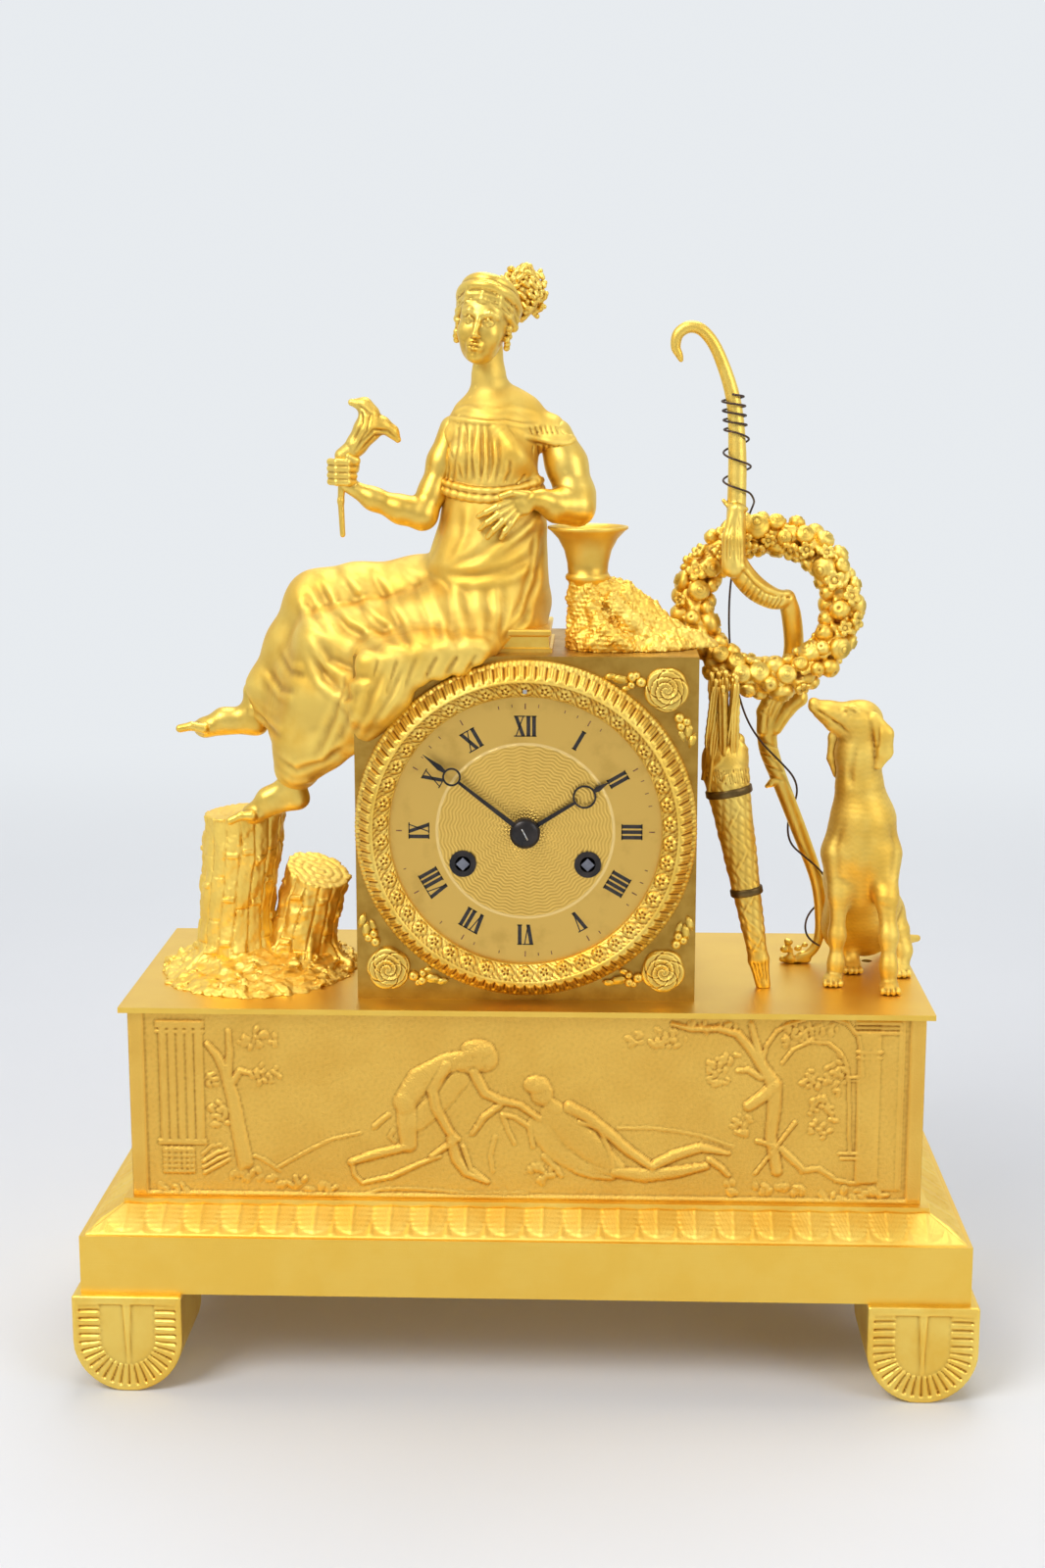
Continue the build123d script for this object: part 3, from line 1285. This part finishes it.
arm_shares = {
    "right_upper": [
        (-0.12, 0.0, 0.58, 0.045, 0.045), (-0.16, -0.02, 0.46, 0.043, 0.043),
        (-0.195, -0.04, 0.36, 0.042, 0.042),
        (-0.21, -0.05, 0.325, 0.02, 0.02),
    ],
    "right_fore": [
        (-0.185, -0.045, 0.335, 0.03, 0.03), (-0.24, -0.05, 0.34, 0.04, 0.04),
        (-0.31, -0.05, 0.37, 0.035, 0.035),
        (-0.385, -0.055, 0.42, 0.022, 0.022), (-0.41, -0.055, 0.46, 0.03, 0.03),
        (-0.41, -0.055, 0.49, 0.015, 0.015),
    ],
    "left_upper": [
        (0.12, 0.0, 0.59, 0.05, 0.05), (0.19, 0.0, 0.47, 0.05, 0.05), (0.225, -0.02, 0.38, 0.042, 0.042),
        (0.23, -0.03, 0.345, 0.02, 0.02),
    ],
    "left_fore": [
        (0.24, -0.02, 0.355, 0.02, 0.02), (0.20, -0.05, 0.375, 0.035, 0.035),
        (0.13, -0.09, 0.395, 0.03, 0.03),
        (0.07, -0.12, 0.395, 0.022, 0.022), (0.0, -0.14, 0.36, 0.03, 0.02), (-0.06, -0.14, 0.32, 0.01, 0.01),
    ],
}
with BuildPart() as figure_arms:
    for rows in arm_shares.values():
        swelling(seat_point, figure_height, rows)
save(figure_arms, "figure_arms")

sceptre_shares = {
    "stick": [
        (-0.418, -0.055, 0.294, 0.011, 0.011), (-0.414, -0.055, 0.40, 0.012, 0.012),
        (-0.40, -0.055, 0.50, 0.014, 0.014), (-0.375, -0.055, 0.54, 0.022, 0.022),
        (-0.345, -0.055, 0.575, 0.026, 0.026), (-0.34, -0.055, 0.60, 0.012, 0.012),
    ],
    "left_horn": [
        (-0.335, -0.055, 0.555, 0.02, 0.02), (-0.345, -0.055, 0.60, 0.02, 0.02),
        (-0.37, -0.055, 0.625, 0.015, 0.015),
        (-0.395, -0.055, 0.62, 0.008, 0.008),
    ],
    "right_horn": [
        (-0.355, -0.055, 0.57, 0.02, 0.02), (-0.31, -0.055, 0.575, 0.018, 0.018),
        (-0.275, -0.055, 0.545, 0.012, 0.012),
        (-0.262, -0.055, 0.525, 0.006, 0.006),
    ],
}
with BuildPart() as flower_sceptre:
    for rows in sceptre_shares.values():
        swelling(seat_point, figure_height, rows)
save(flower_sceptre, "flower_sceptre")

# Horn-shaped vessel on a rocky root, beside the figure.
vessel_point = (21.6, -14.0, case_top)
vessel_outer_shares = [
    (0.0, 0.0), (0.24, 0.0), (0.22, 0.30), (0.185, 0.44), (0.20, 0.50), (0.165, 0.56), (0.175, 0.70),
    (0.22, 0.86), (0.325, 1.0),
]
vessel_inner_shares = [(0.295, 1.0), (0.19, 0.86), (0.145, 0.70), (0.135, 0.58), (0.0, 0.58)]
root_shares = [
    (-0.22, 0.0, 0.10, 0.08, 0.12), (-0.06, 0.0, 0.16, 0.26, 0.36), (0.18, 0.0, 0.16, 0.32, 0.42),
    (0.45, 0.0, 0.10, 0.26, 0.38), (0.72, 0.0, 0.04, 0.14, 0.25), (0.86, 0.0, 0.0, 0.05, 0.10),
]
with BuildPart() as horn_vessel:
    revolved(vessel_point, vessel_height, vessel_outer_shares + vessel_inner_shares)
    swelling(vessel_point, vessel_height, root_shares)
    slab(
        vessel_point[0], vessel_point[1], case_top - vessel_height, case_top, 3 * vessel_height,
        2 * vessel_height, mode=Mode.SUBTRACT,
    )
    add(figure_body.part, mode=Mode.SUBTRACT)
save(horn_vessel, "horn_vessel")

# Two cut tree stumps on a rocky mound.
mound_point = (mound_x, mound_y, plate_top)
mound_shares = [
    (0.0, 0.0, 0.0, 0.65, 0.82), (0.0, 0.0, 0.06, 0.62, 0.76), (0.0, 0.0, 0.12, 0.45, 0.52),
    (0.0, 0.0, 0.18, 0.25, 0.26),
]
big_stump_shares = [
    (-0.14, -0.02, 0.04, 0.30, 0.28), (-0.15, -0.02, 0.20, 0.235, 0.23), (-0.13, -0.02, 0.50, 0.225, 0.225),
    (-0.10, -0.02, 0.80, 0.235, 0.23), (-0.075, -0.02, 1.0, 0.25, 0.24),
]
small_stump_shares = [
    (0.24, 0.02, 0.04, 0.26, 0.26), (0.26, 0.02, 0.18, 0.205, 0.20), (0.32, 0.02, 0.40, 0.19, 0.19),
    (0.40, 0.02, 0.64, 0.205, 0.20),
]
with BuildPart() as tree_stumps:
    for rows in (mound_shares, big_stump_shares, small_stump_shares):
        swelling(mound_point, stump_height, rows)
    slab(
        mound_x, mound_y, plate_top - stump_height, plate_top, 3 * stump_height, 3 * stump_height,
        Mode.SUBTRACT,
    )
    slab(
        mound_x, mound_y, plate_top + stump_height, plate_top + 2 * stump_height, 3 * stump_height,
        3 * stump_height, Mode.SUBTRACT,
    )
    for stud_x, stud_y in stud_places[:2]:
        post(stud_x, stud_y, plate_top - stud_tail, plate_top + stud_radius, stud_radius)
save(tree_stumps, "tree_stumps")

# Seated hound that looks up and to the left.
dog_point = (dog_x, dog_y, plate_top)
dog_shares = {
    "trunk": [
        (-0.02, -0.07, 0.90, 0.055, 0.055), (-0.02, -0.08, 0.78, 0.08, 0.08),
        (0.0, -0.09, 0.66, 0.105, 0.115),
        (0.0, -0.08, 0.54, 0.115, 0.135), (0.01, -0.04, 0.42, 0.11, 0.135), (0.03, 0.04, 0.30, 0.12, 0.14),
        (0.05, 0.12, 0.18, 0.12, 0.13), (0.06, 0.16, 0.08, 0.09, 0.10), (0.06, 0.17, 0.0, 0.05, 0.06),
    ],
    "head": [
        (0.08, -0.07, 0.90, 0.04, 0.045), (0.02, -0.08, 0.935, 0.07, 0.065),
        (-0.06, -0.09, 0.955, 0.05, 0.05),
        (-0.13, -0.10, 0.975, 0.032, 0.032), (-0.18, -0.10, 0.99, 0.018, 0.018),
    ],
    "left_fore": [
        (-0.07, -0.10, 0.55, 0.05, 0.05), (-0.09, -0.14, 0.28, 0.035, 0.035),
        (-0.10, -0.15, 0.08, 0.028, 0.03),
        (-0.105, -0.17, -0.02, 0.035, 0.045),
    ],
    "right_fore": [
        (0.08, -0.10, 0.55, 0.05, 0.05), (0.10, -0.16, 0.28, 0.035, 0.035), (0.112, -0.20, 0.08, 0.028, 0.03),
        (0.115, -0.23, -0.02, 0.035, 0.045),
    ],
    "left_hind": [
        (0.02, 0.14, 0.16, 0.07, 0.09), (-0.01, 0.08, 0.08, 0.05, 0.07), (-0.02, 0.05, -0.02, 0.035, 0.05),
    ],
    "right_hind": [
        (0.13, 0.16, 0.30, 0.05, 0.07), (0.15, 0.15, 0.14, 0.06, 0.09), (0.17, 0.12, -0.02, 0.04, 0.06),
    ],
    "tail": [
        (0.09, 0.20, 0.08, 0.035, 0.035), (0.18, 0.32, 0.035, 0.024, 0.024),
        (0.28, 0.42, 0.025, 0.012, 0.012),
    ],
}
with BuildPart() as dog:
    for rows in dog_shares.values():
        swelling(dog_point, dog_height, rows)
    slab(dog_x, dog_y, plate_top - dog_height, plate_top, 2 * dog_height, 2 * dog_height, Mode.SUBTRACT)
    for stud_x, stud_y in stud_places[2:3]:
        post(stud_x, stud_y, plate_top - stud_tail, plate_top + stud_radius, stud_radius)
save(dog, "dog")

# Recurved bow, standing on a small foot, in four runs that join.
bow_point = (bow_x, bow_y, plate_top)
bow_shares = {
    "upper": [
        (-0.218, -0.04, 0.955, 0.006, 0.006), (-0.227, -0.04, 0.972, 0.008, 0.008),
        (-0.222, -0.04, 0.992, 0.010, 0.010), (-0.204, -0.04, 1.002, 0.011, 0.011),
        (-0.182, -0.04, 0.993, 0.012, 0.012), (-0.160, -0.04, 0.96, 0.012, 0.012),
        (-0.137, -0.042, 0.892, 0.013, 0.013), (-0.130, -0.045, 0.814, 0.014, 0.014),
        (-0.130, -0.05, 0.733, 0.015, 0.015), (-0.132, -0.052, 0.645, 0.020, 0.016),
        (-0.125, -0.05, 0.615, 0.014, 0.012),
    ],
    "grip": [
        (-0.140, -0.05, 0.66, 0.012, 0.012), (-0.120, -0.048, 0.622, 0.018, 0.016),
        (-0.090, -0.04, 0.598, 0.018, 0.016), (-0.060, -0.03, 0.590, 0.017, 0.015),
        (-0.036, -0.022, 0.592, 0.012, 0.012),
    ],
    "middle": [
        (-0.050, -0.026, 0.60, 0.012, 0.012), (-0.040, -0.012, 0.57, 0.018, 0.015),
        (-0.033, 0.004, 0.508, 0.018, 0.015), (-0.042, 0.006, 0.455, 0.018, 0.014),
        (-0.062, 0.002, 0.42, 0.020, 0.014), (-0.078, 0.0, 0.385, 0.016, 0.013),
    ],
    "lower": [
        (-0.073, 0.0, 0.40, 0.014, 0.012), (-0.068, 0.0, 0.345, 0.016, 0.013),
        (-0.050, 0.0, 0.297, 0.015, 0.013),
        (-0.015, 0.0, 0.21, 0.014, 0.013), (0.012, 0.0, 0.135, 0.013, 0.012),
        (0.018, 0.0, 0.067, 0.012, 0.011),
        (0.002, 0.0, 0.016, 0.010, 0.010), (-0.015, 0.0, 0.010, 0.008, 0.008),
    ],
}
with BuildPart() as bow:
    for rows in bow_shares.values():
        swelling(bow_point, bow_height, rows)
    slab(
        bow_x - bow_height / 60, bow_y, plate_top, plate_top + bow_height / 60,
        bow_height / 16, bow_height / 20,
    )
    slab(bow_x, bow_y, plate_top - bow_height, plate_top, bow_height, bow_height, Mode.SUBTRACT)
    for stud_x, stud_y in stud_places[3:4]:
        post(stud_x, stud_y, plate_top - stud_tail, plate_top + stud_radius, stud_radius)
save(bow, "bow")

# Wreath of fruits, hung on the bow and leaning forward at its foot.
wreath_x, wreath_y, wreath_z = 88.5, 7.0, 278.3
wreath_lean = 16.0
fruit_count = 20
wreath_plane = Plane(
    origin=(wreath_x, wreath_y, wreath_z), x_dir=(1, 0, 0),
    z_dir=(0, -math.cos(math.radians(wreath_lean)), math.sin(math.radians(wreath_lean))),
)
with BuildPart(wreath_plane) as wreath:
    with PolarLocations(wreath_radius, fruit_count, start_angle=90 / fruit_count):
        Sphere(fruit_radius)
    slab(
        0, wreath_y, plate_top, case_top + seat_gap, case_width + 2 * seat_gap, 2 * wreath_radius,
        mode=Mode.SUBTRACT,
    )
save(wreath, "wreath")

# Quiver leaning beside the case, with its arrows and two dark bands.
quiver_point = (quiver_x, quiver_y, plate_top)
quiver_shares = [
    (0.0, 0.0, -0.02, 0.020, 0.020), (-0.02, 0.0, 0.08, 0.026, 0.024), (-0.07, 0.01, 0.32, 0.042, 0.036),
    (-0.12, 0.02, 0.56, 0.060, 0.046), (-0.135, 0.02, 0.65, 0.066, 0.050),
]
arrow_shares = [(-0.035, 0.0), (-0.012, -0.018), (0.012, 0.012), (0.034, -0.006), (0.0, 0.03)]
band_places_share = (0.33, 0.645)
with BuildPart() as quiver:
    swelling(quiver_point, quiver_length, quiver_shares)
    for across, back in arrow_shares:
        swelling(
            quiver_point, quiver_length,
            [
                (-0.13 + across, 0.02 + back, 0.62, 0.014, 0.014),
                (-0.16 + across, 0.025 + back, 0.84, 0.014, 0.014),
                (-0.172 + across, 0.03 + back, 0.98, 0.016, 0.016),
            ],
        )
    slab(
        quiver_x, quiver_y, plate_top - quiver_length, plate_top, quiver_length, quiver_length,
        Mode.SUBTRACT,
    )
save(quiver, "quiver")

# Bow string: thin dark wire, wound round the upper limb, then hanging down beside the bow.
string_turns = 4
loose_turns = 2.25
string_steps = 8
string_pitch = 3.4
loose_pitch = 10.0
string_samples = 400
limb_radius_share = 0.0145
string_top_share = 0.901
tight_radius = limb_radius_share * bow_height + bow_string_diameter / 2 + 2 * seat_gap
loose_radius = tight_radius + 3 * seat_gap


def limb_centre(height):
    """The middle of the upper limb at a height."""
    rows = [(z, x, y) for x, y, z, _, _ in bow_shares["upper"][4:]]
    share = (height - plate_top) / bow_height
    for (above, x_above, y_above), (below, x_below, y_below) in zip(rows, rows[1:]):
        if below <= share <= above:
            part = (above - share) / (above - below)
            return (
                bow_x + bow_height * (x_above + part * (x_below - x_above)),
                bow_y + bow_height * (y_above + part * (y_below - y_above)),
            )
    return bow_x + bow_height * rows[-1][1], bow_y + bow_height * rows[-1][2]


string_route = []
for step in range(round((string_turns + loose_turns) * string_steps) + 1):
    turns = step / string_steps
    loose = max(turns - string_turns, 0)
    reach = tight_radius + (loose_radius - tight_radius) * min(2 * loose, 1)
    height = plate_top + string_top_share * bow_height - min(turns, string_turns) * string_pitch
    height -= loose * loose_pitch
    angle = 2 * math.pi * turns - math.pi / 2
    limb_x, limb_y = limb_centre(height)
    string_route.append((limb_x + reach * math.cos(angle), limb_y + reach * math.sin(angle), height))
string_tail = [
    (82.6, 7.0, 317.6), (83.3, 15.0, 316.0), (82.6, 22.2, 312.6), (80.6, 26.0, 306.0), (78.0, 26.6, 297.0),
    (75.4, 25.4, 285.0), (75.1, 23.2, 267.0), (76.6, 20.6, 252.0), (79.3, 18.0, 242.5), (81.2, 13.6, 236.4),
    (84.0, 8.2, 231.0), (88.6, 6.2, 225.2), (94.8, 6.4, 219.2), (100.4, 9.4, 212.8), (102.2, 15.5, 205.4),
    (99.8, 18.0, 198.6), (98.2, 14.6, 192.2), (99.2, 9.6, 187.0), (103.8, 6.8, 183.4), (110.8, 8.2, 177.4),
    (115.4, 13.0, 170.0), (113.0, 17.4, 163.6), (107.4, 16.0, 158.6), (105.4, 11.4, 154.0), (107.0, 7.4, 149.8),
    (111.0, 6.6, 148.0),
]
string_route += string_tail


def cord_radii(route):
    """The arc at each corner, as large as its two runs allow."""
    radii = []
    for before, corner, after in zip(route, route[1:], route[2:]):
        run_in = Vector(*corner) - Vector(*before)
        run_out = Vector(*after) - Vector(*corner)
        half_turn = math.radians(run_in.get_angle(run_out)) / 2
        radii.append(0.45 * min(run_in.length, run_out.length) / math.tan(half_turn))
    return radii


string_radii = cord_radii(string_route)
print("bow string radii", [round(radius, 1) for radius in string_radii])
with BuildPart() as bow_string:
    with BuildLine() as string_line:
        FilletPolyline(*string_route, radius=string_radii)
    start_edge = string_line.edges().sort_by_distance(string_route[0])[0]
    path = string_line.wires()[0]
    with BuildSketch(Plane(origin=path @ 0, z_dir=path % 0)) as section:
        Circle(bow_string_diameter / 2)
    sweep(section.sketch, path=path)
string_points = [path @ (step / string_samples) for step in range(string_samples + 1)]
string_skip = math.ceil(1.5 * math.pi * tight_radius / path.length * string_samples)
string_gap = min(
    (string_points[far] - string_points[near]).length - bow_string_diameter
    for near in range(string_samples)
    for far in range(near + string_skip, string_samples + 1)
)
print("bow string least gap to itself", round(string_gap, 2))
string_volume = math.pi * (bow_string_diameter / 2) ** 2 * path.length
print(
    "bow string length", round(path.length, 1), "volume share",
    round(bow_string.part.volume / string_volume, 3),
)
save(bow_string, "bow_string")
